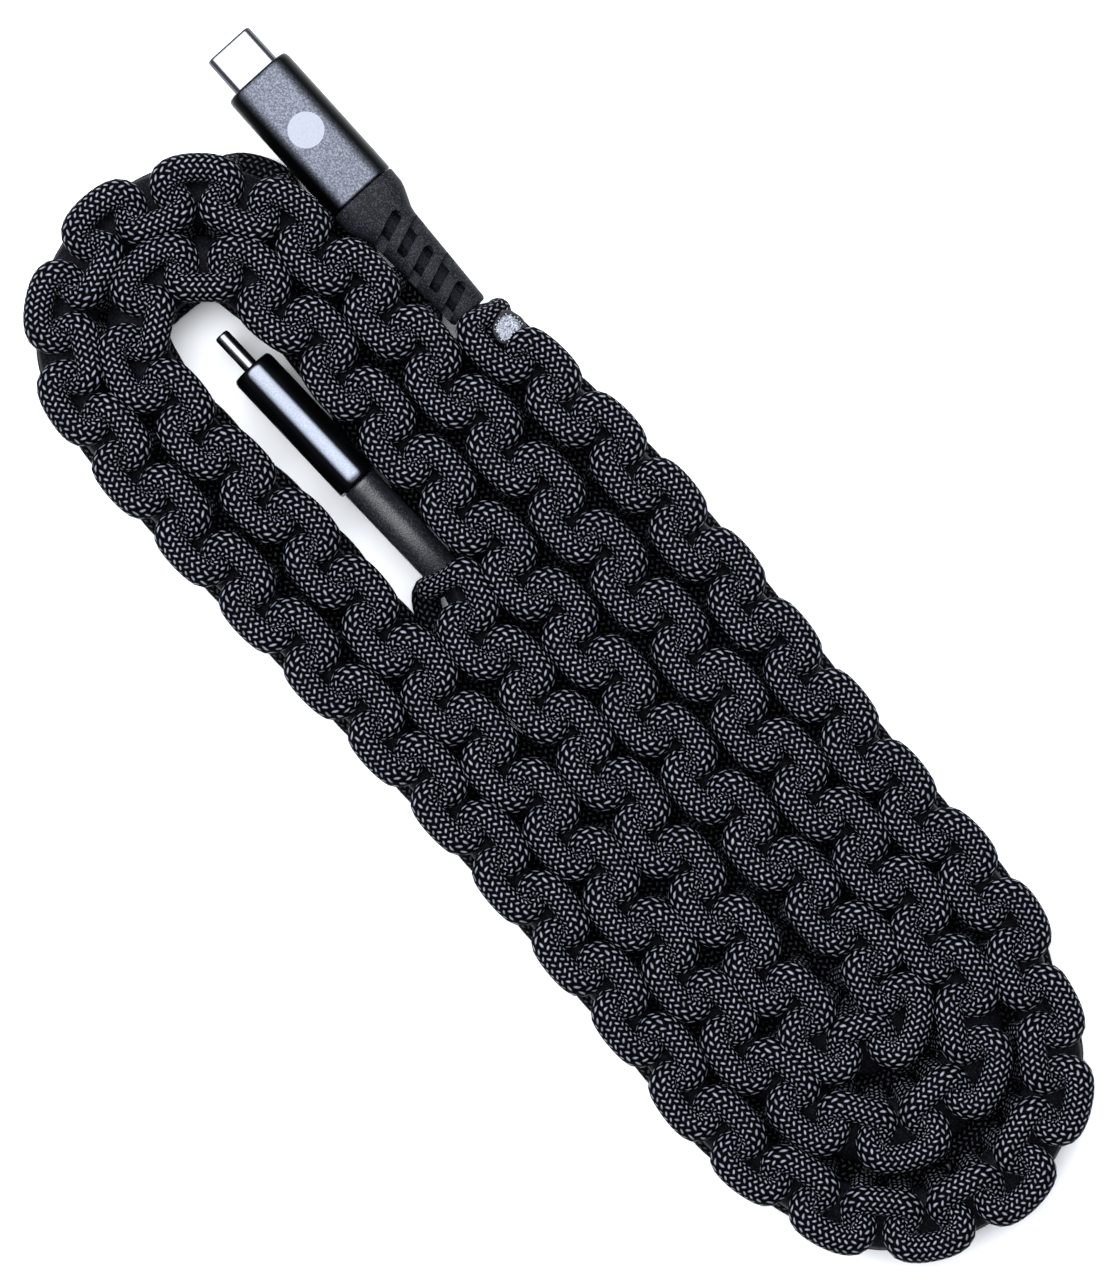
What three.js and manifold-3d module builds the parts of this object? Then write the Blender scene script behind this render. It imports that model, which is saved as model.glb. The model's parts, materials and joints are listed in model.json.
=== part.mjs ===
// A braided charging cable, wound flat into a three-loop hank with a USB-C plug at each end.
// Millimetres, +Z up, standing on z = 0. X runs along the hank and Y across it.
// The data cable runs inside a knotted paracord cover that stands on its edge.

import * as THREE from "three";
import { mergeVertices } from "three/addons/utils/BufferGeometryUtils.js";
import Module from "manifold-3d";

const wasm = await Module();
wasm.setup();

// ---------- driving dimensions ----------
const FIT = 0.3; // clearance between neighbouring pieces
const TIGHT = 0.15; // clearance between the small pieces inside a plug

const COVER_WIDTH = 9.4; // knotted cover, measured across the run
const COVER_HEIGHT = 17.6; // knotted cover, from the surface up
const AXIS_HEIGHT = COVER_HEIGHT / 2;
const JACKET = 4.0; // outer diameter of the data cable
const JACKET_WALL = 0.4;
const CORD_SIDES = 8;
const WIRE_SIDES = 6;
const WIRE_CIRCLE = 0.95; // the wires lie round the cable's axis at this radius
const WIRES = [
  ["power_wire", 0.5, 0xb02a24],
  ["data_plus_wire", 0.35, 0x2c8a4a],
  ["ground_wire", 0.5, 0x2a2a2c],
  ["data_minus_wire", 0.35, 0xe6e6e4],
  ["sensing_wire", 0.35, 0x2d5bb0],
];

const BODY_WIDTH = 11.5;
const BODY_THICKNESS = 7.0;
const BODY_LENGTH = 23.4;
const BODY_CORNER = 3.2;
const BODY_WALL = 0.9;
const NOSE = 0.9; // length of the bevel at the housing's front
const SHELL_WIDTH = 8.25;
const SHELL_THICKNESS = 2.4;
const SHELL_WALL = 0.3;
const SHELL_SHOWN = 6.65;
const SHELL_HIDDEN = 5.0;
const BEND_GAP = 2.4; // bare stretch between a boot's end and the cover, where the cable bends

// Where each plug's boot ends, the way its tip points and how long its boot is.
const PLUG_A = { at: [-49.8, 27.1], heading: -1.1, roll: 0, boot: 24.0, marked: true };
const PLUG_B = { at: [-22.3, -2.6], heading: 0, roll: 90, boot: 20.0, marked: false };

// Stations along a boot from its cord end: how far, then its shares of the body's width and thickness.
const SLOTTED_BOOT = [[0, 0.54, 0.82], [17.6, 0.66, 0.84], [21, 0.97, 0.97], [24, 1, 1]];
const PLAIN_BOOT = [[0, 0.5, 0.8], [19, 0.74, 0.83], [20, 0.76, 0.84]];

// The cord's route seen from above: hand-placed points along the runs, arcs round the bends.
const arc = (x, y, radius, from, to, steps) =>
  Array.from({ length: steps + 1 }, (_, i) => {
    const turn = THREE.MathUtils.degToRad(from + ((to - from) * i) / steps);
    return [x + radius * Math.cos(turn), y + radius * Math.sin(turn)];
  });

const ROUTE = [
  [-49.8, 27.1], [-38.8, 27.9], [-17.8, 28.7], [3.3, 27.9], [25.8, 26.2], [48.4, 24.6],
  [63.4, 24.0], [74.0, 22.3],
  ...arc(76.7, -3.7, 23.3, 75, -75, 7),
  [70.2, -28.9], [61.9, -29.1], [48.4, -28.0], [33.4, -27.1], [10.8, -25.9], [-11.8, -25.6],
  [-34.3, -25.9], [-56.9, -26.1], [-70.4, -25.5],
  ...arc(-74.9, -4.4, 20.0, -105, -255, 7),
  [-71.9, 16.6], [-59.9, 17.5], [-41.8, 17.1], [-19.3, 16.9], [3.3, 16.5], [25.8, 15.4],
  [48.4, 14.7], [61.9, 13.9],
  ...arc(71.7, -2.9, 14.0, 80, -80, 6),
  [65.7, -18.4], [55.9, -18.4], [40.9, -17.5], [18.3, -16.2], [-4.2, -15.9], [-26.8, -15.1], [-41.8, -14.5],
  [-59.9, -15.1],
  ...arc(-74.2, -4.4, 9.9, -90, -270, 6),
  [-64.4, 6.8], [-49.3, 6.2], [-26.8, 5.8], [-4.2, 5.5], [18.3, 4.7], [40.9, 4.4], [58.9, 4.3],
  ...arc(66.1, -2.6, 5.6, 80, -80, 5),
  [57.4, -8.6], [46.9, -7.9], [33.4, -6.8], [18.3, -5.8], [0.3, -5.0], [-13.3, -4.7],
  [-18.2, -3.8], [-22.3, -2.6],
];

// ---------- materials ----------
const finish = (color, roughness, metalness = 0) =>
  new THREE.MeshStandardMaterial({ color, roughness, metalness });

const paracord = () => finish(0x1d1e23, 0.9);
const blackRubber = () => finish(0x1b1c1f, 0.7);
const blackMetal = () => finish(0x2a2b2e, 0.45, 0.6);
const steel = () => finish(0xd5d6d8, 0.25, 1);
const gold = () => finish(0xcaa25a, 0.3, 1);
const moulding = () => finish(0x18181a, 0.6);

// ---------- solids ----------
const box3 = (size, centre) => new THREE.BoxGeometry(...size).translate(...centre);

function solid(geometry) {
  const bare = geometry.clone();
  bare.deleteAttribute("normal");
  bare.deleteAttribute("uv");
  const merged = mergeVertices(bare, 1e-4);
  const mesh = new wasm.Mesh({
    numProp: 3,
    vertProperties: new Float32Array(merged.attributes.position.array),
    triVerts: new Uint32Array(merged.index.array),
  });
  return new wasm.Manifold(mesh);
}

function geometryOf(made) {
  const mesh = made.getMesh();
  const geometry = new THREE.BufferGeometry();
  geometry.setAttribute("position", new THREE.BufferAttribute(mesh.vertProperties, 3));
  geometry.setIndex(new THREE.BufferAttribute(mesh.triVerts, 1));
  geometry.computeVertexNormals();
  return geometry;
}

const without = (outer, ...inner) =>
  geometryOf(inner.reduce((left, piece) => left.subtract(solid(piece)), solid(outer)));

const joined = (...pieces) =>
  geometryOf(pieces.slice(1).reduce((sum, piece) => sum.add(solid(piece)), solid(pieces[0])));

function roundedOutline(width, height, corner) {
  const r = Math.min(corner, width / 2 - 0.01, height / 2 - 0.01);
  const x = width / 2 - r;
  const y = height / 2 - r;
  const shape = new THREE.Shape();
  shape.absarc(x, y, r, 0, Math.PI / 2);
  shape.absarc(-x, y, r, Math.PI / 2, Math.PI);
  shape.absarc(-x, -y, r, Math.PI, 1.5 * Math.PI);
  shape.absarc(x, -y, r, 1.5 * Math.PI, 2 * Math.PI);
  return shape;
}

// An outline swept along a plug, from one distance in front of the boot's end to another.
// scaleAt gives the outline's width and height factors at a distance.
const TOWARDS_TIP = new THREE.Matrix4().makeBasis(
  new THREE.Vector3(0, -1, 0),
  new THREE.Vector3(0, 0, 1),
  new THREE.Vector3(-1, 0, 0),
);

function sweep(outline, from, to, stations = [], curveSegments = 4) {
  const inside = stations.filter(([at]) => at > from && at < to);
  const steps = inside.length + 1;
  const places = [from, ...inside.map(([at]) => at), to];
  const geometry = new THREE.ExtrudeGeometry(outline, {
    depth: steps, steps, curveSegments, bevelEnabled: false,
  });
  const position = geometry.attributes.position;
  for (let i = 0; i < position.count; i++) {
    const at = places[Math.round(position.getZ(i))];
    const [wide, high] = scaleAt(stations, at);
    position.setXYZ(i, position.getX(i) * wide, position.getY(i) * high, at);
  }
  return geometry.applyMatrix4(TOWARDS_TIP);
}

function scaleAt(stations, at) {
  if (!stations.length) return [1, 1];
  const next = stations.findIndex(([place]) => place >= at);
  if (next === 0) return stations[0].slice(1);
  if (next < 0) return stations[stations.length - 1].slice(1);
  const [a, b] = [stations[next - 1], stations[next]];
  const share = (at - a[0]) / (b[0] - a[0]);
  return [a[1] + share * (b[1] - a[1]), a[2] + share * (b[2] - a[2])];
}

// A round bar along a plug, off its axis by y and z.
const bar = (radius, from, to, y = 0, z = 0, sides = 16) =>
  new THREE.CylinderGeometry(radius, radius, to - from, sides)
    .rotateZ(Math.PI / 2)
    .translate(-(from + to) / 2, y, z);

const block = (from, to, width, height, y = 0, z = 0) =>
  box3([to - from, width, height], [-(from + to) / 2, y, z]);

// ---------- the cord ----------
// A smooth path through the route, with one step of the tube at each point.
class Route extends THREE.CatmullRomCurve3 {
  getPointAt(share, target) {
    return this.getPoint(share, target);
  }
  getTangentAt(share, target) {
    return this.getTangent(share, target);
  }
}

function cordPath(gap) {
  const points = ROUTE.map(([x, y]) => new THREE.Vector3(x, y, AXIS_HEIGHT));
  const last = points.length - 1;
  const shift = (from, to) => points[to].clone().sub(points[from]).setLength(gap);
  points[0].add(shift(0, 1));
  points[last].add(shift(last, last - 1));
  return new Route(points, false, "centripetal");
}

function ring(radiusX, radiusY, sides, x = 0, y = 0) {
  const start = Math.PI / sides;
  return Array.from({ length: sides }, (_, i) => {
    const turn = start + (2 * Math.PI * i) / sides;
    return new THREE.Vector2(x + radiusX * Math.cos(turn), y + radiusY * Math.sin(turn));
  });
}

// The outline's first axis stands upright and its second lies across the run.
function alongCord(outline, hole) {
  const shape = new THREE.Shape(outline);
  if (hole) shape.holes.push(new THREE.Path(hole));
  return new THREE.ExtrudeGeometry(shape, {
    steps: ROUTE.length - 1, bevelEnabled: false, extrudePath: cordPath(BEND_GAP),
  });
}

// Half the corner-to-corner size of a ring that measures this much across its flats.
const cornerRadius = (acrossFlats) => acrossFlats / 2 / Math.cos(Math.PI / CORD_SIDES);

function coverGeometry() {
  const bore = cornerRadius(JACKET + 2 * FIT);
  return alongCord(
    ring(cornerRadius(COVER_HEIGHT), cornerRadius(COVER_WIDTH), CORD_SIDES),
    ring(bore, bore, CORD_SIDES),
  );
}

function jacketGeometry() {
  const outer = JACKET / 2;
  const inner = outer - JACKET_WALL;
  return alongCord(ring(outer, outer, CORD_SIDES), ring(inner, inner, CORD_SIDES));
}

const wirePlace = (index) => {
  const turn = (2 * Math.PI * index) / WIRES.length;
  return [WIRE_CIRCLE * Math.cos(turn), WIRE_CIRCLE * Math.sin(turn)];
};

const wireGeometry = (radius, index) =>
  alongCord(ring(radius, radius, WIRE_SIDES, ...wirePlace(index)));

// ---------- a plug ----------
// Distances along a plug are counted from the boot's cord end towards the tip.
function plugPlaces(bootLength) {
  const seam = bootLength + FIT;
  const nose = seam + BODY_LENGTH;
  return { seam, nose, tip: nose + SHELL_SHOWN, shellBack: nose - SHELL_HIDDEN };
}

const shellOutline = (shrink) =>
  roundedOutline(SHELL_WIDTH - 2 * shrink, SHELL_THICKNESS - 2 * shrink, SHELL_THICKNESS / 2 - shrink);

const SHELL_LEAD = [0.4, 0.97, 0.9]; // length of the bevel at the shell's tip, and how far it narrows

const shellGeometry = ({ shellBack, tip }) =>
  without(
    sweep(shellOutline(0), shellBack, tip, [[tip - SHELL_LEAD[0], 1, 1], [tip, ...SHELL_LEAD.slice(1)]]),
    sweep(shellOutline(SHELL_WALL), shellBack - 1, tip + 1),
  );

const INSULATOR_WIDTH = 5.7;
const INSULATOR_HEIGHT = 1.5;
const INSULATOR_WALL = 0.3;

const insulatorGeometry = ({ shellBack, tip }) =>
  without(
    block(shellBack + 0.5, tip - 0.2, INSULATOR_WIDTH, INSULATOR_HEIGHT),
    block(shellBack, tip, INSULATOR_WIDTH - 2 * INSULATOR_WALL, INSULATOR_HEIGHT - 2 * INSULATOR_WALL),
  );

const BOARD_THICKNESS = 0.8;
const CONTACT = 0.15; // thickness of a contact
const CONTACT_WIDTH = 0.3;
const CONTACT_RECESS = 0.6; // from the shell's tip back to the contacts
const CONTACT_HEIGHT = 0.2; // from the plug's mid plane to the contact's inner face at its tip
const TAIL_HEIGHT = BOARD_THICKNESS / 2 + TIGHT;

// One spring contact: a flat strip that steps out over the board at its back.
function contactStrip({ shellBack, tip }, y, side, back) {
  const front = tip - CONTACT_RECESS;
  const step = shellBack + 0.3;
  const shape = new THREE.Shape([
    new THREE.Vector2(front, CONTACT_HEIGHT),
    new THREE.Vector2(front, CONTACT_HEIGHT + CONTACT),
    new THREE.Vector2(step + 0.6, CONTACT_HEIGHT + CONTACT),
    new THREE.Vector2(step, TAIL_HEIGHT + CONTACT),
    new THREE.Vector2(back, TAIL_HEIGHT + CONTACT),
    new THREE.Vector2(back, TAIL_HEIGHT),
    new THREE.Vector2(step - 0.1, TAIL_HEIGHT),
    new THREE.Vector2(step + 0.5, CONTACT_HEIGHT),
  ]);
  return new THREE.ExtrudeGeometry(shape, { depth: CONTACT_WIDTH, bevelEnabled: false })
    .translate(0, 0, -CONTACT_WIDTH / 2)
    .rotateX(Math.PI / 2)
    .rotateZ(Math.PI)
    .rotateX(side > 0 ? 0 : Math.PI)
    .translate(0, y, 0);
}

// Two strips joined by a bar at the back.
function contactFork(places, halfSpan, back) {
  const height = TAIL_HEIGHT + CONTACT / 2;
  return joined(
    contactStrip(places, -halfSpan, 1, back),
    contactStrip(places, halfSpan, 1, back),
    block(back - 0.4, back + 0.1, 2 * halfSpan + CONTACT_WIDTH, CONTACT, 0, height),
  );
}

const LATCH_THICKNESS = 0.25;
const LATCH_HEIGHT = 0.6;
const LATCH_LENGTH = 6.0;
const LATCH_RECESS = 0.8; // from the shell's tip back to the latch
const LATCH_PLACE = INSULATOR_WIDTH / 2 + TIGHT + LATCH_THICKNESS / 2;

// A flat side spring of the latch.
function latchGeometry({ tip }, side) {
  const front = tip - LATCH_RECESS;
  return block(front - LATCH_LENGTH, front, LATCH_THICKNESS, LATCH_HEIGHT, side * LATCH_PLACE);
}

const NOSE_WIDTH_SHARE = 0.93; // how far the housing's front bevel narrows
const NOSE_HEIGHT_SHARE = 0.88;
const MOUTH_CORNER = 1.5; // corner of the opening that the shell comes out of

const bodyOutline = (shrink) =>
  roundedOutline(BODY_WIDTH - 2 * shrink, BODY_THICKNESS - 2 * shrink, BODY_CORNER - shrink);

function housingGeometry({ seam, nose }) {
  const bevel = [[nose - NOSE, 1, 1], [nose, NOSE_WIDTH_SHARE, NOSE_HEIGHT_SHARE]];
  return without(
    sweep(bodyOutline(0), seam, nose, bevel, 6),
    sweep(bodyOutline(BODY_WALL), seam - 1, nose - 1),
    sweep(roundedOutline(SHELL_WIDTH + 2 * FIT, SHELL_THICKNESS + 2 * FIT, MOUTH_CORNER), seam, nose + 1),
  );
}

const CAN_WIDTH = 7.6;
const CAN_HEIGHT = 3.8;
const CAN_CORNER = 0.8;
const CAN_WALL = 0.25;
const CAN_BACK = 5.0; // from the seam forward to the shield can
const MOULD_BACK = 5.5; // from the seam forward to the inner moulding
const BOARD_BACK = 8.0; // from the seam forward to the board
const BOARD_WIDTH = 5.6;

// The can's outline, grown by a clearance or shrunk by a wall.
const canOutline = (grow) =>
  roundedOutline(CAN_WIDTH + 2 * grow, CAN_HEIGHT + 2 * grow, CAN_CORNER + grow);

const canGeometry = ({ shellBack, seam }) =>
  without(
    sweep(canOutline(0), seam + CAN_BACK, shellBack - FIT),
    sweep(canOutline(-CAN_WALL), seam, shellBack + 1),
  );

const innerMouldGeometry = ({ shellBack, seam }) =>
  without(
    sweep(bodyOutline(BODY_WALL + FIT), seam + MOULD_BACK, shellBack - 1),
    sweep(canOutline(TIGHT), seam, shellBack + 1),
  );

const boardGeometry = ({ shellBack, seam }) =>
  block(seam + BOARD_BACK, shellBack - 0.1, BOARD_WIDTH, BOARD_THICKNESS);

const chipGeometry = ({ seam }) =>
  block(seam + 9.2, seam + 12.2, 3, 0.7, 0, BOARD_THICKNESS / 2 + TIGHT + 0.35);

const capacitorGeometry = ({ seam }) =>
  block(seam + 10, seam + 11, 0.5, 0.5, 1.2, -(BOARD_THICKNESS / 2 + TIGHT + 0.25));

const SLOT_COUNT = 5;
const SLOT_FIRST = 17.4; // from the boot's cord end to the slot nearest the plug
const SLOT_STEP = 3.6;
const SLOT_WIDTH = 1.2;
const SLOT_LENGTH = 6.0;
const SLOT_DEPTH = 1.4;
const SLOT_OFFSET = 1.4; // a slot's middle lies this far towards the edge that it opens to
const SLOT_HEIGHT = 3.3; // from the boot's mid plane to the middle of a slot's depth
const SLOT_SLANT = THREE.MathUtils.degToRad(21);

// Slanted slots on both faces of a boot, open to one edge and then the other in turn.
function bootSlots() {
  const slots = [];
  for (let i = 0; i < SLOT_COUNT; i++) {
    const side = i % 2 ? 1 : -1;
    for (const face of [-1, 1])
      slots.push(
        new THREE.BoxGeometry(SLOT_WIDTH, SLOT_LENGTH, SLOT_DEPTH)
          .translate(0, side * SLOT_OFFSET, 0)
          .rotateZ(SLOT_SLANT)
          .translate(-(SLOT_FIRST - i * SLOT_STEP), 0, face * SLOT_HEIGHT),
      );
  }
  return slots;
}

function bootGeometry(length, slotted) {
  const boot = sweep(bodyOutline(0), 0, length, slotted ? SLOTTED_BOOT : PLAIN_BOOT, 5);
  return without(boot, bar(JACKET / 2 + FIT, -1, length + 1), ...(slotted ? bootSlots() : []));
}

const RING_RADIUS = 2.45; // crimp ring, outside
const RING_WALL = 0.3;

const crimpRingGeometry = ({ seam }) =>
  without(
    bar(RING_RADIUS, seam + 1, seam + 4),
    bar(RING_RADIUS - RING_WALL, seam, seam + 5),
  );

const jacketEndGeometry = ({ seam }) =>
  without(
    bar(JACKET / 2, FIT, seam + 4.4),
    bar(JACKET / 2 - JACKET_WALL, -1, seam + 6),
  );

const MARK_RADIUS = 2.8;
const MARK_THICKNESS = 0.12;
const MARK_PLACE = 12.2; // from the seam forward to the mark's centre

const markGeometry = ({ seam }) =>
  new THREE.CylinderGeometry(MARK_RADIUS, MARK_RADIUS, MARK_THICKNESS, 32)
    .rotateX(Math.PI / 2)
    .translate(-(seam + MARK_PLACE), 0, BODY_THICKNESS / 2 + MARK_THICKNESS / 2 + 0.05);

// A marked plug has a slotted boot and a printed disc on its upper face.
function plug(name, { at, heading, roll, boot, marked }) {
  const places = plugPlaces(boot);
  const { seam, shellBack } = places;
  const group = new THREE.Group();
  const add = (label, geometry, material) => {
    const mesh = new THREE.Mesh(geometry, material);
    mesh.name = `${name}_${label}`;
    group.add(mesh);
  };

  add("shell", shellGeometry(places), steel());
  add("insulator", insulatorGeometry(places), moulding());
  add("power_contacts", contactFork(places, 0.8, shellBack - 2.2), gold());
  add("ground_contacts", contactFork(places, 1.9, shellBack - 3.0), gold());
  add("sensing_contact", contactStrip(places, -1.1, -1, shellBack - 2.2), gold());
  add("data_plus_contact", contactStrip(places, 0, -1, shellBack - 2.2), gold());
  add("data_minus_contact", contactStrip(places, 1.1, -1, shellBack - 2.2), gold());
  add("left_latch", latchGeometry(places, 1), steel());
  add("right_latch", latchGeometry(places, -1), steel());
  add("board", boardGeometry(places), finish(0x1f5a3a, 0.6));
  add("controller_chip", chipGeometry(places), moulding());
  add("capacitor", capacitorGeometry(places), finish(0xb59a78, 0.5));
  add("shield_can", canGeometry(places), steel());
  add("inner_mould", innerMouldGeometry(places), finish(0xdedbd2, 0.6));
  add("housing", housingGeometry(places), blackMetal());
  add("boot", bootGeometry(boot, marked), blackRubber());
  add("crimp_ring", crimpRingGeometry(places), steel());
  add("jacket_end", jacketEndGeometry(places), blackRubber());
  WIRES.forEach(([wire, radius, color], index) => {
    const [up, across] = wirePlace(index);
    add(`${wire}_end`, bar(radius, 0.6, seam + 7.7, -across, up, 8), finish(color, 0.6));
  });
  if (marked) add("mark", markGeometry(places), finish(0xf2f2f2, 0.5));

  group.rotation.set(THREE.MathUtils.degToRad(roll), 0, THREE.MathUtils.degToRad(heading), "ZYX");
  group.position.set(at[0], at[1], AXIS_HEIGHT);
  return group;
}

// ---------- the assembly ----------
const cable = new THREE.Group();

const addCord = (name, geometry, material) => {
  const mesh = new THREE.Mesh(geometry, material);
  mesh.name = name;
  cable.add(mesh);
};

addCord("paracord_cover", coverGeometry(), paracord());
addCord("cable_jacket", jacketGeometry(), blackRubber());
WIRES.forEach(([name, radius, color], index) =>
  addCord(name, wireGeometry(radius, index), finish(color, 0.6)),
);
cable.add(plug("plug_a", PLUG_A));
cable.add(plug("plug_b", PLUG_B));

export default cable;
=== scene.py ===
"""The finished look of a braided charging cable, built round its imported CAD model.

Metres, +Z up, in the model's own frame. X runs along the hank and Y across it.
The cable runs inside two strands of paracord, tied in square knots into a strap that stands on its edge.
"""

import json
import math

import bmesh
import bpy
import numpy as np
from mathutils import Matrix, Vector


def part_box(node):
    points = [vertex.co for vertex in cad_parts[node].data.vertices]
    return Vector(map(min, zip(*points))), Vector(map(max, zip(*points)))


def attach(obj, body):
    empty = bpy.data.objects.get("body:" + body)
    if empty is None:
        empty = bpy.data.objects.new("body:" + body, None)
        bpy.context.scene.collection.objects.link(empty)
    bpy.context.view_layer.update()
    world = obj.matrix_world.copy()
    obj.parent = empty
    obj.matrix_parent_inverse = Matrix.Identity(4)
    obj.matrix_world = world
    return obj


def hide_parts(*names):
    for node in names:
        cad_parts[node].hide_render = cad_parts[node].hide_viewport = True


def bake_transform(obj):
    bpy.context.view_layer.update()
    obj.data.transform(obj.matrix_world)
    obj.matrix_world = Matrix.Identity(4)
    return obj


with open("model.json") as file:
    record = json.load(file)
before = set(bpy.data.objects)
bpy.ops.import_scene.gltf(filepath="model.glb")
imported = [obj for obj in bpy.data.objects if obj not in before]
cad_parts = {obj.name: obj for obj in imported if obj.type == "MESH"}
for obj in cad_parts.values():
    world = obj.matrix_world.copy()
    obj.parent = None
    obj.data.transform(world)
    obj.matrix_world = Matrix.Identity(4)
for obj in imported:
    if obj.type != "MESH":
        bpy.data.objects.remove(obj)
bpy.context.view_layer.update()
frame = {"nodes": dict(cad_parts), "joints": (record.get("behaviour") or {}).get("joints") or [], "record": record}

bl_info = {
    "name": "Braided charging cable",
    "version": (1, 0, 0),
    "blender": (4, 5, 0),
    "location": "3D View > Sidebar > Cable",
    "description": "Builds a charging cable with a knotted paracord cover, and its studio",
    "category": "Object",
}

CORD_BODY = "cord"

# ---------- what the frame says ----------
JOINTS = {joint["name"]: joint for joint in frame["joints"]}
MOUNTS = {mount["name"]: mount for mount in frame["record"]["mounts"]}


def middle_height(node):
    """The height of a node's middle."""
    low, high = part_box(node)
    return (low.z + high.z) / 2


def half_height(node):
    """Half of a node's size from bottom to top."""
    low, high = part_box(node)
    return (high.z - low.z) / 2


AXIS_HEIGHT = middle_height("paracord_cover")
STRAP_HALF_HEIGHT = half_height("paracord_cover")


# ---------- the cord's route ----------
def arc(x, y, radius, start, end, steps):
    """Points on an arc round (x, y), from one angle to another in degrees."""
    turns = [math.radians(start + (end - start) * i / steps) for i in range(steps + 1)]
    return [(x + radius * math.cos(turn), y + radius * math.sin(turn)) for turn in turns]


# The cord seen from above: listed points along the runs, arcs round the bends.
ROUTE = [
    (-0.0498, 0.0271), (-0.0388, 0.0279), (-0.0178, 0.0287), (0.0033, 0.0279), (0.0258, 0.0262),
    (0.0484, 0.0246), (0.0634, 0.0240), (0.0740, 0.0223),
    *arc(0.0767, -0.0037, 0.0233, 75, -75, 7),
    (0.0702, -0.0289), (0.0619, -0.0291), (0.0484, -0.0280), (0.0334, -0.0271), (0.0108, -0.0259),
    (-0.0118, -0.0256), (-0.0343, -0.0259), (-0.0569, -0.0261), (-0.0704, -0.0255),
    *arc(-0.0749, -0.0044, 0.0200, -105, -255, 7),
    (-0.0719, 0.0166), (-0.0599, 0.0175), (-0.0418, 0.0171), (-0.0193, 0.0169), (0.0033, 0.0165),
    (0.0258, 0.0154), (0.0484, 0.0147), (0.0619, 0.0139),
    *arc(0.0717, -0.0029, 0.0140, 80, -80, 6),
    (0.0657, -0.0184), (0.0559, -0.0184), (0.0409, -0.0175), (0.0183, -0.0162), (-0.0042, -0.0159),
    (-0.0268, -0.0151), (-0.0418, -0.0145), (-0.0599, -0.0151),
    *arc(-0.0742, -0.0044, 0.0099, -90, -270, 6),
    (-0.0644, 0.0068), (-0.0493, 0.0062), (-0.0268, 0.0058), (-0.0042, 0.0055), (0.0183, 0.0047),
    (0.0409, 0.0044), (0.0589, 0.0043),
    *arc(0.0661, -0.0026, 0.0056, 80, -80, 5),
    (0.0574, -0.0086), (0.0469, -0.0079), (0.0334, -0.0068), (0.0183, -0.0058), (0.0003, -0.0050),
    (-0.0133, -0.0047), (-0.0182, -0.0038), (-0.0223, -0.0026),
]

# Where some of the half knots sit: metres along the cord, and the half knot's number.
KNOT_PLACES = [
    (-0.0040, 0.0), (0.0140, 2.5), (0.1770, 26.5), (0.3435, 50.5), (0.5090, 74.5), (0.6745, 98.5),
    (0.7690, 112.5), (0.9180, 134.5), (0.9420, 138.5), (0.9550, 140.5), (1.0210, 150.5), (1.0310, 152.0),
]
FIRST_KNOT = 1
LAST_KNOT = 152


def smooth_line(points, samples):
    """A centripetal Catmull-Rom line through rows of numbers, the first two or three of them a place."""
    given = np.array(points, float)
    ends = (2 * given[:1] - given[1:2], given, 2 * given[-1:] - given[-2:-1])
    rows = np.vstack(ends)
    chords = np.linalg.norm(np.diff(rows[:, :3], axis=0), axis=1)
    knots = np.concatenate([[0], np.cumsum(np.sqrt(chords))])
    line = []
    for i in range(1, len(rows) - 2):
        t0, t1, t2, t3 = knots[i - 1 : i + 3]
        p0, p1, p2, p3 = rows[i - 1 : i + 3]
        t = np.linspace(t1, t2, samples, endpoint=False)[:, None]
        a1 = ((t1 - t) * p0 + (t - t0) * p1) / (t1 - t0)
        a2 = ((t2 - t) * p1 + (t - t1) * p2) / (t2 - t1)
        a3 = ((t3 - t) * p2 + (t - t2) * p3) / (t3 - t2)
        b1 = ((t2 - t) * a1 + (t - t0) * a2) / (t2 - t0)
        b2 = ((t3 - t) * a2 + (t - t1) * a3) / (t3 - t1)
        line.append(((t2 - t) * b1 + (t - t1) * b2) / (t2 - t1))
    return np.vstack([*line, rows[-2:-1]])


def lengths_along(line):
    """How far along the line each of its points lies."""
    steps = np.linalg.norm(np.diff(line[:, :3], axis=0), axis=1)
    return np.concatenate([[0], np.cumsum(steps)])


def resampled(line, step):
    """The line's rows again, an even step apart along it."""
    along = lengths_along(line)
    places = np.linspace(0, along[-1], max(2, round(along[-1] / step)))
    return np.stack([np.interp(places, along, column) for column in line.T], axis=1)


class Strap:
    """Turns a place in the strap (along, sideways, up from the axis) into a place in the frame."""

    SMOOTHING = 0.0012

    def __init__(self, route):
        self.line = smooth_line(route, 24)
        self.along = lengths_along(self.line)
        self.length = self.along[-1]

    def at(self, along):
        inside = np.clip(along, 0, self.length)
        x = np.interp(inside, self.along, self.line[:, 0])
        y = np.interp(inside, self.along, self.line[:, 1])
        return np.stack([x, y], axis=-1)

    def forward(self, along):
        inside = np.clip(along, self.SMOOTHING, self.length - self.SMOOTHING)
        step = self.at(inside + self.SMOOTHING) - self.at(inside - self.SMOOTHING)
        return step / np.linalg.norm(step, axis=-1, keepdims=True)

    def bend(self, along, reach=0.006):
        """How sharply the cord bends to the right there, in radians per metre."""
        before = self.forward(along - reach)
        after = self.forward(along + reach)
        cross = before[..., 1] * after[..., 0] - before[..., 0] * after[..., 1]
        return np.arcsin(np.clip(cross, -1, 1)) / (2 * reach)

    def place(self, along, sideways, up):
        """Sideways is to the left of the way the cord runs."""
        forward = self.forward(along)
        left = np.stack([-forward[..., 1], forward[..., 0]], axis=-1)
        overshoot = (along - np.clip(along, 0, self.length))[..., None]
        flat = self.at(along) + overshoot * forward + left * sideways[..., None]
        return np.concatenate([flat, (AXIS_HEIGHT + up)[..., None]], axis=-1)


STRAP = Strap(ROUTE)


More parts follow.
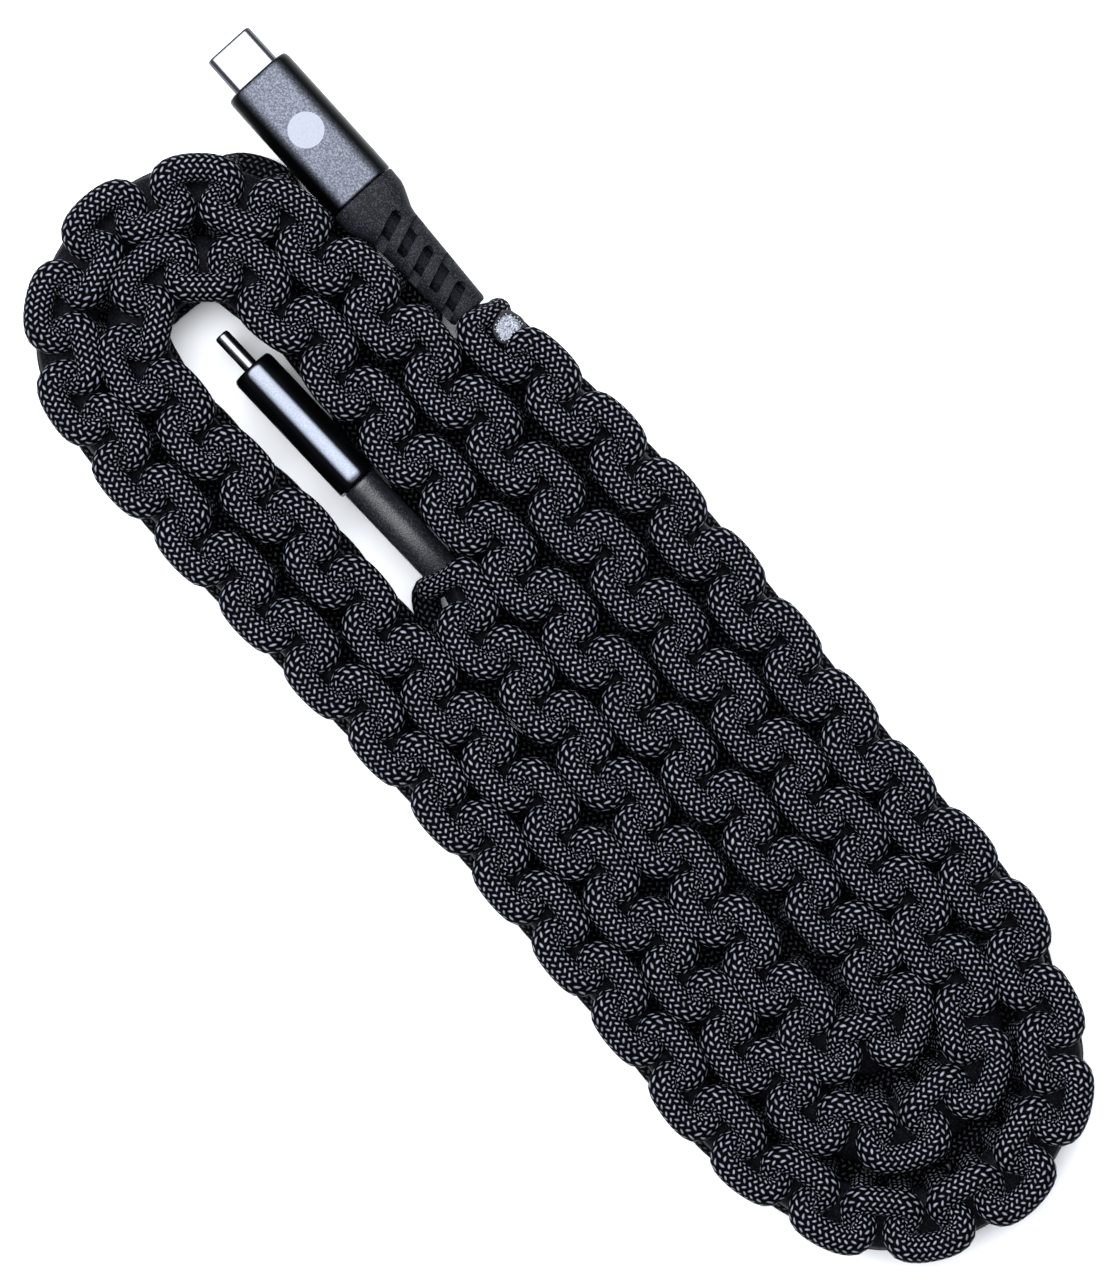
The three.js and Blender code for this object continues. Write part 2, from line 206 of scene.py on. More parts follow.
# ---------- mesh work ----------
STRAND_SIDES = 16  # faces round a strand
SMOOTH_ALL_OVER = 180  # degrees: no edge counts as sharp


def add_object(name, data):
    made = bpy.data.objects.new(name, data)
    bpy.context.scene.collection.objects.link(made)
    return made


def add_mesh(name, points, faces, sharp_degrees=40, uv=None):
    """A smooth-shaded mesh object. Uv gives each face corner's place, in face order."""
    mesh = bpy.data.meshes.new(name)
    mesh.from_pydata(np.asarray(points).tolist(), [], np.asarray(faces, dtype=object).tolist())
    if uv is not None:
        layer = mesh.uv_layers.new(name="Weave")
        layer.data.foreach_set("uv", np.asarray(uv, np.float32).ravel())
    mesh.polygons.foreach_set("use_smooth", [True] * len(mesh.polygons))
    mesh.set_sharp_from_angle(angle=math.radians(sharp_degrees))
    mesh.validate()
    return add_object(name, mesh)


def finished(piece, material, body, replaced=()):
    """Gives a piece its material, its body and the CAD nodes it stands for."""
    piece.data.materials.clear()
    piece.data.materials.append(material)
    if body:
        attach(piece, body)
    if replaced:
        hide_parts(*replaced)
    return piece


def turning_frames(line):
    """Two unit vectors across the line at each point, carried along it without twisting."""
    tangents = np.gradient(line, axis=0)
    tangents /= np.linalg.norm(tangents, axis=1, keepdims=True)
    side = np.cross(tangents[0], (0.0, 0.0, 1.0))
    if np.linalg.norm(side) < 0.1:
        side = np.cross(tangents[0], (1.0, 0.0, 0.0))
    sides = []
    for tangent in tangents:
        side = side - tangent * np.dot(side, tangent)
        side = side / np.linalg.norm(side)
        sides.append(side)
    sides = np.array(sides)
    return sides, np.cross(tangents, sides)


def strand_mesh(name, line, sides=STRAND_SIDES):
    """A round strand along rows of place and radius, with rounded ends and the weave's own map."""
    places, radii = line[:, :3], line[:, 3]
    along = lengths_along(line)
    from_end = np.minimum(along, along[-1] - along)
    rounding = np.clip(from_end / radii, 0, 1)
    radii = radii * np.sqrt(np.clip(1 - (1 - rounding) ** 2, 0.02, 1))
    across, up = turning_frames(places)
    turns = np.arange(sides) * 2 * math.pi / sides
    cosines, sines = np.cos(turns)[None, :, None], np.sin(turns)[None, :, None]
    ring = cosines * across[:, None, :] + sines * up[:, None, :]
    points = (places[:, None, :] + radii[:, None, None] * ring).reshape(-1, 3)

    rows = np.arange(len(line) - 1)[:, None]
    columns = np.arange(sides)[None, :]
    following = (columns + 1) % sides
    corners = [rows * sides + columns, rows * sides + following]
    corners += [(rows + 1) * sides + following, (rows + 1) * sides + columns]
    quads = np.stack(np.broadcast_arrays(*corners), axis=-1).reshape(-1, 4)

    low, high = along[:-1, None], along[1:, None]
    left, right = columns / sides, (columns + 1) / sides
    spots = [(low, left), (low, right), (high, right), (high, left)]
    uv = np.stack([np.stack(np.broadcast_arrays(*spot), axis=-1) for spot in spots], axis=2)
    uv = uv.reshape(-1, 2)

    last = (len(line) - 1) * sides
    caps = [list(range(sides))[::-1], list(range(last, last + sides))]
    cap_uv = [(0.0, i / sides) for i in range(sides)] + [(along[-1], i / sides) for i in range(sides)]
    return add_mesh(name, points, quads.tolist() + caps, SMOOTH_ALL_OVER, np.vstack([uv, cap_uv]))


# ---------- materials ----------
class Signal:
    """A number that varies over a surface, with Python arithmetic."""

    def __init__(self, finish, socket):
        self.finish = finish
        self.socket = socket

    def maths(self, operation, *values):
        sockets = dict(enumerate(values))
        return self.finish.node("ShaderNodeMath", {"operation": operation}, sockets)

    def __add__(self, other):
        return self.maths("ADD", self, other)

    def __sub__(self, other):
        return self.maths("SUBTRACT", self, other)

    def __rsub__(self, other):
        return self.maths("SUBTRACT", other, self)

    def __mul__(self, other):
        return self.maths("MULTIPLY", self, other)

    def __truediv__(self, other):
        return self.maths("DIVIDE", self, other)

    def __mod__(self, other):
        return self.maths("FLOORED_MODULO", self, other)

    def __pow__(self, other):
        return self.maths("POWER", self, other)

    def __abs__(self):
        return self.maths("ABSOLUTE", self)

    __radd__ = __add__
    __rmul__ = __mul__

    def floor(self):
        return self.maths("FLOOR", self)

    def step(self, low, high):
        """0 below low and 1 above high, with a smooth rise between; high may be the smaller."""
        settings = {"interpolation_type": "SMOOTHSTEP"}
        sockets = {"Value": self, "From Min": low, "From Max": high}
        return self.finish.node("ShaderNodeMapRange", settings, sockets)


class Finish:
    """Builds one node material."""

    def __init__(self, name):
        self.material = bpy.data.materials.new(name)
        self.material.use_nodes = True
        self.tree = self.material.node_tree
        self.tree.nodes.clear()

    def node(self, kind, settings=None, sockets=None, output=0):
        """Adds a node: its settings first, then the values or links of its sockets."""
        made = self.tree.nodes.new(kind)
        for name, value in (settings or {}).items():
            setattr(made, name, value)
        for name, value in (sockets or {}).items():
            if isinstance(value, Signal):
                self.tree.links.new(value.socket, made.inputs[name])
            else:
                made.inputs[name].default_value = value
        return Signal(self, made.outputs[output]) if made.outputs else None

    def mixed(self, share, first, second):
        """A colour between two, by a share from 0 to 1."""
        factor, first_colour, second_colour, result = 0, 6, 7, 2
        sockets = {factor: share, first_colour: first, second_colour: second}
        return self.node("ShaderNodeMix", {"data_type": "RGBA"}, sockets, result)

    def grain(self, per_metre, detail=2.0, roughness=0.5, stretch=(1, 1, 1)):
        """Noise from 0 to 1 with features of about one over per_metre, fixed to the piece."""
        place = self.node("ShaderNodeTexCoord", output="Object")
        scaled = self.node("ShaderNodeMapping", sockets={"Vector": place, "Scale": stretch})
        sockets = {"Vector": scaled, "Scale": per_metre, "Detail": detail, "Roughness": roughness}
        return self.node("ShaderNodeTexNoise", sockets=sockets)

    def bump(self, height, distance, strength=1.0):
        sockets = {"Height": height, "Distance": distance, "Strength": strength}
        return self.node("ShaderNodeBump", sockets=sockets)

    def surface(self, **sockets):
        """Ends the material with a principled shader."""
        named = {name.replace("_", " "): value for name, value in sockets.items()}
        shader = self.node("ShaderNodeBsdfPrincipled", sockets=named)
        self.node("ShaderNodeOutputMaterial", sockets={"Surface": shader})
        return self.material


def opaque(colour):
    return (*colour, 1.0)


def darker(colour, share):
    return tuple(channel * share for channel in colour[:3])


# Painted shade: the flecks show in full above the second of these heights, and by the least share below the first,
# darker towards the floor.
PAINTED_SHADE_HEIGHTS = (0.004, 0.0128)
DEEPEST_PAINTED_SHADE = 0.25


def woven_sheath(name, cord):
    """A black braided sheath: columns of slanted pale flecks, each column leaning against the next. The flecks are
    partly the yarn's own pale pattern and partly painted highlight on each yarn float.

    The flecks are painted duller towards the floor: painted shade for the strap's deep lower loops.
    """
    finish = Finish(name)
    place = finish.node("ShaderNodeUVMap", {"uv_map": "Weave"})
    along = finish.node("ShaderNodeSeparateXYZ", sockets={"Vector": place}, output="X") / cord.fleck_pitch
    around = finish.node("ShaderNodeSeparateXYZ", sockets={"Vector": place}, output="Y") * cord.columns
    column = around.floor()
    across = around % 1.0 - 0.5
    lean = 1 - 2 * (column % 2.0)
    drift = finish.grain(260, 1.0) * 0.5
    phase = (along + across * lean * 0.52 + lean * 0.25 + drift) % 1.0
    beside = abs(across) * 2
    off_centre = abs(phase - 0.5) * 2
    uneven = finish.grain(900, 2.0).step(0.25, 0.62)
    height = finish.node("ShaderNodeTexCoord", output="Object")
    height = finish.node("ShaderNodeSeparateXYZ", sockets={"Vector": height}, output="Z")
    # Painted shade: the flecks are darkened lower down the strap, where its loops lie deep in shade.
    painted_depth_shade = DEEPEST_PAINTED_SHADE + (1 - DEEPEST_PAINTED_SHADE) * height.step(*PAINTED_SHADE_HEIGHTS)
    fleck = ((off_centre / 0.46) ** 2.0 + (beside / 0.74) ** 2.0).step(1.2, 0.3)
    shown = fleck * (0.5 + 0.5 * uneven) * painted_depth_shade
    # The pale flecks: partly the weave's own pattern, partly painted highlight on each float.
    colour = finish.mixed(shown, opaque(cord.sheath_colour), opaque(cord.fleck_and_highlight_colour))
    yarn = (1 - beside ** 2.0) * 0.35 + fleck * 0.65
    return finish.surface(
        Base_Color=colour,
        Roughness=0.62 - 0.12 * shown,
        Normal=finish.bump(yarn, 0.00022, 0.9),
        Specular_IOR_Level=0.01,
    )


def cut_fibres(name):
    """The pale, melted end of a paracord's core."""
    finish = Finish(name)
    clumps = finish.grain(1400, 3.0, 0.7)
    colour = finish.mixed(clumps.step(0.3, 0.65), (0.07, 0.072, 0.085, 1), (0.50, 0.52, 0.58, 1))
    return finish.surface(
        Base_Color=colour,
        Roughness=0.55,
        Normal=finish.bump(clumps, 0.0004),
        Subsurface_Weight=0.1,
    )


def melted_sheath(name):
    """Sheath that has been melted smooth and glossy beside the cut."""
    finish = Finish(name)
    lumps = finish.grain(700, 3.0, 0.6)
    colour = finish.mixed(lumps.step(0.55, 0.75), (0.002, 0.002, 0.003, 1), (0.02, 0.02, 0.025, 1))
    return finish.surface(
        Base_Color=colour,
        Roughness=0.32 + 0.2 * lumps,
        Normal=finish.bump(lumps, 0.0003),
        Specular_IOR_Level=0.12,
    )


def moulded_rubber(name, colour, roughness=0.5, shine=0.25):
    """Fine-grained rubber, with a few paler specks."""
    finish = Finish(name)
    fine = finish.grain(4200, 2.0, 0.6)
    broad = finish.grain(260, 2.0)
    specks = fine.step(0.47, 0.68)
    base = finish.mixed(specks * (0.4 + 0.6 * broad), opaque(colour), opaque(darker(colour, 8.0)))
    return finish.surface(
        Base_Color=base,
        Roughness=roughness + 0.15 * (broad - 0.5),
        Normal=finish.bump(fine, 0.00006, 0.8),
        Specular_IOR_Level=shine,
    )


def metal_with_painted_light(finish, face, side, turned):
    """Metal that is paler on its broad faces than round its sides, by which way its surface faces: a painted
    highlight on the faces and painted shade on the sides; turned says between which tilts.
    """
    normal = finish.node("ShaderNodeTexCoord", output="Normal")
    upward = abs(finish.node("ShaderNodeSeparateXYZ", sockets={"Vector": normal}, output="Z"))
    return finish.mixed(upward.step(*turned), side, face)


def anodised_metal(name, colour, roughness, turned, sparkle=0.45):
    """Anodised aluminium: bead-blasted broad faces, with painted shade that darkens its rounded sides."""
    finish = Finish(name)
    beads = finish.grain(3800, 2.0, 0.65)
    broad = finish.grain(90, 3.0)
    dim, lit = opaque(darker(colour, 1 - sparkle)), opaque(darker(colour, 1 + sparkle))
    face = finish.mixed(beads.step(0.38, 0.68), dim, lit)
    base = metal_with_painted_light(finish, face, opaque(darker(colour, 0.05)), turned)
    return finish.surface(
        Base_Color=base,
        Metallic=0.9,
        Roughness=roughness + 0.08 * (broad - 0.5),
        Normal=finish.bump(beads, 0.00003, 0.7),
        Specular_IOR_Level=0.3,
    )


def satin_steel(name, colour, roughness=0.28):
    """Drawn steel with fine streaks along the plug, and painted shade that darkens its sides."""
    finish = Finish(name)
    streaks = finish.grain(500, 3.0, 0.6, stretch=(0.12, 6, 6))
    face = finish.mixed(streaks.step(0.35, 0.7), opaque(darker(colour, 0.9)), opaque(colour))
    base = metal_with_painted_light(finish, face, opaque(darker(colour, 0.22)), (0.25, 0.7))
    return finish.surface(
        Base_Color=base,
        Metallic=1.0,
        Roughness=roughness + 0.1 * (streaks - 0.5),
        Normal=finish.bump(streaks, 0.00001, 0.5),
    )


def gold_plate(name):
    """Plated contact metal, a little uneven."""
    finish = Finish(name)
    cloud = finish.grain(1800, 3.0)
    base = finish.mixed(cloud, (0.60, 0.40, 0.14, 1), (0.83, 0.61, 0.27, 1))
    return finish.surface(Base_Color=base, Metallic=1.0, Roughness=0.2 + 0.2 * cloud)


def hard_moulding(name, colour, roughness=0.45):
    """Injection-moulded plastic with a light texture."""
    finish = Finish(name)
    texture = finish.grain(3600, 2.0)
    cloud = finish.grain(300, 2.0)
    base = finish.mixed(cloud, opaque(darker(colour, 0.85)), opaque(colour))
    return finish.surface(
        Base_Color=base,
        Roughness=roughness + 0.15 * (cloud - 0.5),
        Normal=finish.bump(texture, 0.00003, 0.5),
    )


def circuit_board(name):
    """Green solder mask over paler copper tracks."""
    finish = Finish(name)
    place = finish.node("ShaderNodeTexCoord", output="Object")
    along = finish.node("ShaderNodeSeparateXYZ", sockets={"Vector": place}, output="X")
    wander = finish.grain(350, 1.0) * 2.5
    tracks = abs((along * 1400 + wander) % 1.0 - 0.5).step(0.16, 0.12)
    base = finish.mixed(tracks, (0.012, 0.09, 0.045, 1), (0.03, 0.20, 0.09, 1))
    return finish.surface(Base_Color=base, Roughness=0.35, Normal=finish.bump(tracks, 0.00003))


def printed_ink(name):
    """White ink on metal, thin enough to show a little of the grain below."""
    finish = Finish(name)
    grain = finish.grain(4200, 2.0, 0.6)
    base = finish.mixed(grain.step(0.2, 0.5), (0.15, 0.16, 0.20, 1), (0.21, 0.22, 0.27, 1))
    return finish.surface(Base_Color=base, Roughness=0.5, Normal=finish.bump(grain, 0.00002))


def pale_floor(name, colour):
    """A pale studio sheet with the faintest mottling."""
    finish = Finish(name)
    cloud = finish.grain(14, 3.0)
    base = finish.mixed(cloud, opaque(darker(colour, 0.985)), opaque(colour))
    return finish.surface(Base_Color=base, Roughness=0.9)


# ---------- settings ----------
def colour_property(name, description, default):
    return bpy.props.FloatVectorProperty(
        name=name, description=description, default=default, subtype="COLOR", size=3, min=0.0, max=1.0
    )


def length_property(name, description, default):
    return bpy.props.FloatProperty(
        name=name, description=description, default=default, min=0.0, unit="LENGTH", precision=5
    )


class CordSettings(bpy.types.PropertyGroup):
    """The cable and its knotted cover."""

    strand: length_property("Strand", "Diameter of a paracord strand", 0.0044)
    jacket: length_property("Cable", "Outer diameter of the data cable", 0.0040)
    fleck_pitch: length_property("Fleck pitch", "Distance between flecks along a strand", 0.00105)
    columns: bpy.props.IntProperty(
        name="Columns", description="Columns of flecks round a strand", default=16, min=2
    )
    sheath_colour: colour_property("Sheath", "Colour of the sheath's black yarn", (0.0008, 0.0008, 0.0012))
    # The flecks' colour stands partly for pale yarn and partly for painted highlight on each float.
    fleck_and_highlight_colour: colour_property("Flecks", "Colour of the sheath's pale flecks", (0.20, 0.205, 0.247))
    jacket_colour: colour_property("Jacket", "Colour of the cable's jacket", (0.002, 0.002, 0.003))


class PlugSettings(bpy.types.PropertyGroup):
    """The two plugs."""

    body_width: length_property("Body width", "Width of a plug's housing", 0.0115)
    body_thickness: length_property("Body thickness", "Thickness of a plug's housing", 0.0070)
    body_length: length_property("Body length", "Length of a plug's housing", 0.0234)
    body_corner: length_property("Body corner", "Corner radius of a plug's housing", 0.0032)
    shell_width: length_property("Shell width", "Width of a plug's metal shell", 0.00825)
    shell_thickness: length_property("Shell thickness", "Thickness of a plug's metal shell", 0.0024)
    shell_shown: length_property("Shell length", "How far the shell stands out of the housing", 0.00665)
    body_colour: colour_property("Body", "Colour of the anodised housing", (0.047, 0.050, 0.061))
    # The second housing shows this colour in full only along the top of its rounded edge, a painted highlight;
    # elsewhere it is painted shade.
    edge_highlight_colour: colour_property(
        "Bright body", "Colour of the second housing's burnished edge", (0.085, 0.092, 0.110)
    )
    boot_colour: colour_property("Boot", "Colour of the rubber boot", (0.0050, 0.0052, 0.0065))
    steel_colour: colour_property("Steel", "Colour of the shell's steel", (0.108, 0.111, 0.121))


class StageSettings(bpy.types.PropertyGroup):
    """The floor, the lights and the camera."""

    floor_colour: colour_property("Floor", "Colour of the floor", (0.97, 0.97, 0.97))
    camera_height: length_property("Camera height", "Height of the camera above the floor", 0.80)
    view_height: length_property("View height", "How much the camera takes in, top to bottom", 0.1925)
    view_turn: bpy.props.FloatProperty(
        name="View turn", description="How far the camera is turned about the vertical",
        default=math.radians(46.8), subtype="ANGLE",
    )


class CableSettings(bpy.types.PropertyGroup):
    """Everything a user may change."""

    cord: bpy.props.PointerProperty(type=CordSettings)
    plug: bpy.props.PointerProperty(type=PlugSettings)
    stage: bpy.props.PointerProperty(type=StageSettings)


def settings():
    return bpy.context.scene.charging_cable


# ---------- the stage ----------
VIEW_CENTRE = Vector((-0.00444, 0.0030, 0.012))  # the middle of what the camera takes in
SENSOR = 36.0  # the camera's, in millimetres
FLOOR_REACH = 1.5  # from the middle to each side
FLOOR_SQUARES = 12
SOFTBOX_PLACE = (-0.30, 0.05, 1.05)
SOFTBOX_TARGET = (0, 0, 0.01)
SOFTBOX_SIZE = (1.0, 0.9)
SOFTBOX_POWER = 33.0
COOL_WHITE = (0.93, 0.96, 1.0)
BACKDROP = (0.93, 0.95, 1.0, 1.0)
BACKDROP_STRENGTH = 0.5


def add_area_light(name, place, target, size, power, colour):
    data = bpy.data.lights.new(name, "AREA")
    data.shape = "RECTANGLE"
    data.size, data.size_y = size
    data.energy = power
    data.color = colour
    lamp = add_object(name, data)
    lamp.location = place
    lamp.rotation_euler = (Vector(target) - Vector(place)).to_track_quat("-Z", "Y").to_euler()
    return lamp


class CABLE_OT_stage(bpy.types.Operator):
    """Add the camera, the floor and the soft lights."""

    bl_idname = "charging_cable.stage"
    bl_label = "Stage"

    def execute(self, context):
        stage = settings().stage
        self.add_camera(stage)
        self.add_floor(stage)
        self.add_lights()
        return {"FINISHED"}

    def add_camera(self, stage):
        data = bpy.data.cameras.new("camera")
        data.sensor_width = SENSOR
        distance = stage.camera_height - VIEW_CENTRE.z
        data.lens = SENSOR * distance / stage.view_height
        data.clip_start = 0.01
        camera = add_object("camera", data)
        camera.location = (VIEW_CENTRE.x, VIEW_CENTRE.y, stage.camera_height)
        camera.rotation_euler = (0, 0, stage.view_turn)
        bpy.context.scene.camera = camera

    def add_floor(self, stage):
        half, steps = FLOOR_REACH, FLOOR_SQUARES
        grid = [(-half + 2 * half * i / steps) for i in range(steps + 1)]
        points = [(x, y, 0.0) for y in grid for x in grid]
        row = steps + 1
        faces = [
            (j * row + i, j * row + i + 1, (j + 1) * row + i + 1, (j + 1) * row + i)
            for j in range(steps) for i in range(steps)
        ]
        floor = add_mesh("floor", points, faces)
        floor.data.materials.append(pale_floor("floor", tuple(stage.floor_colour)))

    def add_lights(self):
        add_area_light(
            "overhead_softbox", SOFTBOX_PLACE, SOFTBOX_TARGET, SOFTBOX_SIZE, SOFTBOX_POWER, COOL_WHITE
        )
        world = bpy.data.worlds.new("studio")
        world.use_nodes = True
        backdrop = world.node_tree.nodes["Background"]
        backdrop.inputs["Color"].default_value = BACKDROP
        backdrop.inputs["Strength"].default_value = BACKDROP_STRENGTH
        bpy.context.scene.world = world
        bpy.context.scene.view_settings.view_transform = "Standard"


# ---------- the cable inside ----------
CABLE_POINTS = 520


class CABLE_OT_cable(bpy.types.Operator):
    """Lay the data cable along its route."""

    bl_idname = "charging_cable.cable"
    bl_label = "Data cable"

    def execute(self, context):
        cord = settings().cord
        places = np.linspace(0, STRAP.length, CABLE_POINTS)
        flat = np.zeros_like(places)
        line = STRAP.place(places, flat, flat)
        curve = bpy.data.curves.new("data_cable", "CURVE")
        curve.dimensions = "3D"
        curve.bevel_depth = cord.jacket / 2
        curve.bevel_resolution = 5
        curve.use_fill_caps = True
        spline = curve.splines.new("POLY")
        spline.points.add(len(line) - 1)
        spline.points.foreach_set("co", np.column_stack([line, np.ones(len(line))]).ravel())
        spline.use_smooth = True
        jacket = moulded_rubber("cable_jacket", tuple(cord.jacket_colour), shine=0.03)
        cable = add_object("data_cable", curve)
        finished(cable, jacket, CORD_BODY, ["cable_jacket"])
        return {"FINISHED"}


# ---------- the knotted cover ----------
COLUMN_PLACE = 0.0031  # from the strap's middle to the middle of a column of loops
BULGE_PER_BEND = 0.000027  # loops outside a bend stand out by this for each radian per metre, and
MOST_BULGE = 0.0013  # by this at most
INNER_SHARE = 0.3  # loops on the inside of a bend draw in by this share of the bulge
SAMPLES_PER_ROW = 8  # how finely a strand is smoothed between the rows below
STRAND_STEP = 0.0008  # between a strand's rings
FULL, EASED, PRESSED = 1.0, 0.90, 0.76  # a strand's size on a loop, beside it and under the next

# Half of one loop: half-knot widths from its first knot, share of the column's place towards its own side,
# share of the loop's height, and the strand's size there. The loop's second half mirrors it.
HALF_LOOP = [
    (0.00, -0.93, 0.00, EASED),
    (0.00, -0.97, 0.30, EASED),
    (-0.02, -0.72, 0.57, PRESSED),
    (-0.10, -0.18, 0.76, PRESSED),
    (-0.19, 0.40, 0.91, EASED),
    (-0.07, 0.84, 0.99, FULL),
    (0.19, 1.00, 1.00, FULL),
]

# How the ends of the strands are tucked in: knot, sideways share, height share and size, from the start
# of the strand to its end.
CUT_END = [(1.42, 0.62, 0.93, EASED), (1.38, 0.52, 0.66, EASED), (1.18, -0.10, 0.45, PRESSED)]
HIDDEN_START = [(0.95, -0.10, -0.80, PRESSED), (0.95, 0.70, -0.45, PRESSED)]
HIDDEN_LEFT_END = [(152.05, -0.75, 0.30, PRESSED), (152.15, -0.10, 0.48, PRESSED)]
HIDDEN_RIGHT_END = [(152.05, 0.75, -0.30, PRESSED), (152.15, 0.10, -0.62, PRESSED)]

# How far the loops on the strap's lower edge splay out: metres along the cord, and metres on that side.
SPLAY_LEFT = [
    (0.0, -0.0006), (0.39, -0.0006), (0.41, 0.0012), (0.42, 0.0018), (0.46, 0.0018), (0.47, 0.0013),
    (1.02, 0.0012),
]
SPLAY_RIGHT = [
    (0.0, 0.0012), (0.66, 0.0012), (0.68, -0.0004), (0.795, -0.0004), (0.81, 0.0006), (0.85, 0.0008),
    (0.87, 0.0018), (0.985, 0.0018), (1.0, 0.0),
]
SPLAY_PER_BEND = 0.00003  # what they splay further for each radian per metre, where they splay at all
MOST_SPLAY = 0.0018  # how much further at most
SPLAY_BELOW = 0.4  # the share of a loop's height below which it splays

SLEEVE_SIZE = (0.0060, 0.0046)  # across the strap and up
SLEEVE_SHIFT = 0.5  # it lies towards the outside of a bend, by this share of the loops' own shift
SLEEVE_SPREAD = 2.6  # how much wider each side of it is there, for what it is shifted
SLEEVE_ENDS = (0.0035, 0.002)  # how far from the cord's two ends it stops
SLEEVE_STEP = 0.002
SLEEVE_SIDES = 12


def along_at(knot):
    """How far along the cord a half knot lies."""
    places, numbers = zip(*KNOT_PLACES)
    return np.interp(knot, numbers, places)


def one_loop(knot, towards, up):
    """Rows of (knot, sideways share, height share, size) for the loop between a half knot and the next."""
    rising = [(knot + step, towards * share, up * high, size) for step, share, high, size in HALF_LOOP]
    falling = [(knot + 1 - step, towards * share, up * high, size) for step, share, high, size in HALF_LOOP]
    return rising + falling[:0:-1]


def loops_of_strand(first_up, towards):
    """All loops of a strand: towards is the side they lie on; first_up is 1 if it starts over the top."""
    rows = []
    for knot in range(FIRST_KNOT, LAST_KNOT):
        up = first_up * (-1) ** (knot - FIRST_KNOT)
        rows += one_loop(knot, towards, up)
    return rows


def strand_line(rows, cord):
    """The strand's line in the frame, with its radius."""
    knot, sideways, high, size = np.array(rows, float).T
    along = along_at(knot)
    bend = STRAP.bend(along)
    bulge = np.clip(BULGE_PER_BEND * bend, 0, MOST_BULGE) * np.where(sideways < 0, -INNER_SHARE, 1)
    left, right = (np.interp(along, *zip(*rows)) for rows in (SPLAY_LEFT, SPLAY_RIGHT))
    splay = np.where(sideways < 0, right, left)
    splay = splay + np.where(splay > 0, np.clip(SPLAY_PER_BEND * bend, 0, MOST_SPLAY), 0)
    place = sideways * (COLUMN_PLACE + bulge + np.clip(SPLAY_BELOW - high, 0, 1) * splay)
    crest = STRAP_HALF_HEIGHT - cord.strand / 2
    points = STRAP.place(along, place, high * crest)
    radius = size * cord.strand / 2
    line = smooth_line(np.column_stack([points, radius]), SAMPLES_PER_ROW)
    return resampled(line, STRAND_STEP)


class CABLE_OT_sleeve(bpy.types.Operator):
    """Add the flat sleeve that holds the cable inside the knots."""

    bl_idname = "charging_cable.sleeve"
    bl_label = "Inner sleeve"

    def execute(self, context):
        along = np.arange(SLEEVE_ENDS[0], STRAP.length - SLEEVE_ENDS[1], SLEEVE_STEP)
        outwards = SLEEVE_SHIFT * np.clip(BULGE_PER_BEND * STRAP.bend(along), 0, MOST_BULGE)
        half_width = SLEEVE_SIZE[0] / 2 + SLEEVE_SPREAD * outwards
        rings = []
        for turn in np.arange(SLEEVE_SIDES) * 2 * math.pi / SLEEVE_SIDES:
            up = np.full_like(along, SLEEVE_SIZE[1] / 2 * math.sin(turn))
            rings.append(STRAP.place(along, outwards + half_width * math.cos(turn), up))
        sleeve = loft("cable_sleeve", np.stack(rings, axis=1).tolist(), sharp_degrees=80)
        sheath = moulded_rubber("sleeve_rubber", tuple(settings().cord.jacket_colour), shine=0.03)
        finished(sleeve, sheath, CORD_BODY)
        return {"FINISHED"}


class CABLE_OT_knots(bpy.types.Operator):
    """Tie the two paracord strands round the cable."""

    bl_idname = "charging_cable.knots"
    bl_label = "Knotted cover"

    def execute(self, context):
        cord = settings().cord
        sheath = woven_sheath("paracord_sheath", cord)
        left = CUT_END + loops_of_strand(first_up=-1, towards=1) + HIDDEN_LEFT_END
        right = HIDDEN_START + loops_of_strand(first_up=1, towards=-1) + HIDDEN_RIGHT_END
        for name, rows in (("paracord_left", left), ("paracord_right", right)):
            strand = strand_mesh(name, strand_line(rows, cord))
            finished(strand, sheath, CORD_BODY, ["paracord_cover"])
        return {"FINISHED"}


# ---------- the plugs ----------
SEAM = 0.0003  # the gap between a boot and its housing
WALL = 0.0009  # the housing's
SHELL_WALL = 0.0003
SHELL_ROUNDNESS = 0.48  # corner radius of the shell and its mouth, as a share of their thickness


def outline(width, thickness, corner, steps=8):
    """Points round a rectangle with rounded corners, across and through the plug."""
    reach = (width / 2 - corner, thickness / 2 - corner)
    points = []
    for quarter, (side, face) in enumerate([(1, 1), (-1, 1), (-1, -1), (1, -1)]):
        for i in range(steps + 1):
            turn = math.radians(90 * (quarter + i / steps))
            across = side * reach[0] + corner * math.cos(turn)
            points.append((across, face * reach[1] + corner * math.sin(turn)))
    return points


def loft(name, rings, closed=False, sharp_degrees=40):
    """A mesh through rings of equally many points; closed joins the last ring to the first."""
    count = len(rings[0])
    points = [point for ring in rings for point in ring]
    pairs = [(i, i + 1) for i in range(len(rings) - 1)]
    if closed:
        pairs.append((len(rings) - 1, 0))
    faces = [
        (a * count + i, a * count + (i + 1) % count, b * count + (i + 1) % count, b * count + i)
        for a, b in pairs for i in range(count)
    ]
    if not closed:
        last = (len(rings) - 1) * count
        faces += [tuple(range(count))[::-1], tuple(range(last, last + count))]
    return outward(add_mesh(name, points, faces, sharp_degrees), sharp_degrees)


def outward(piece, sharp_degrees=40):
    """Turns a closed mesh's faces outwards."""
    work = bmesh.new()
    work.from_mesh(piece.data)
    bmesh.ops.recalc_face_normals(work, faces=work.faces)
    work.to_mesh(piece.data)
    work.free()
    piece.data.polygons.foreach_set("use_smooth", [True] * len(piece.data.polygons))
    piece.data.set_sharp_from_angle(angle=math.radians(sharp_degrees))
    return piece


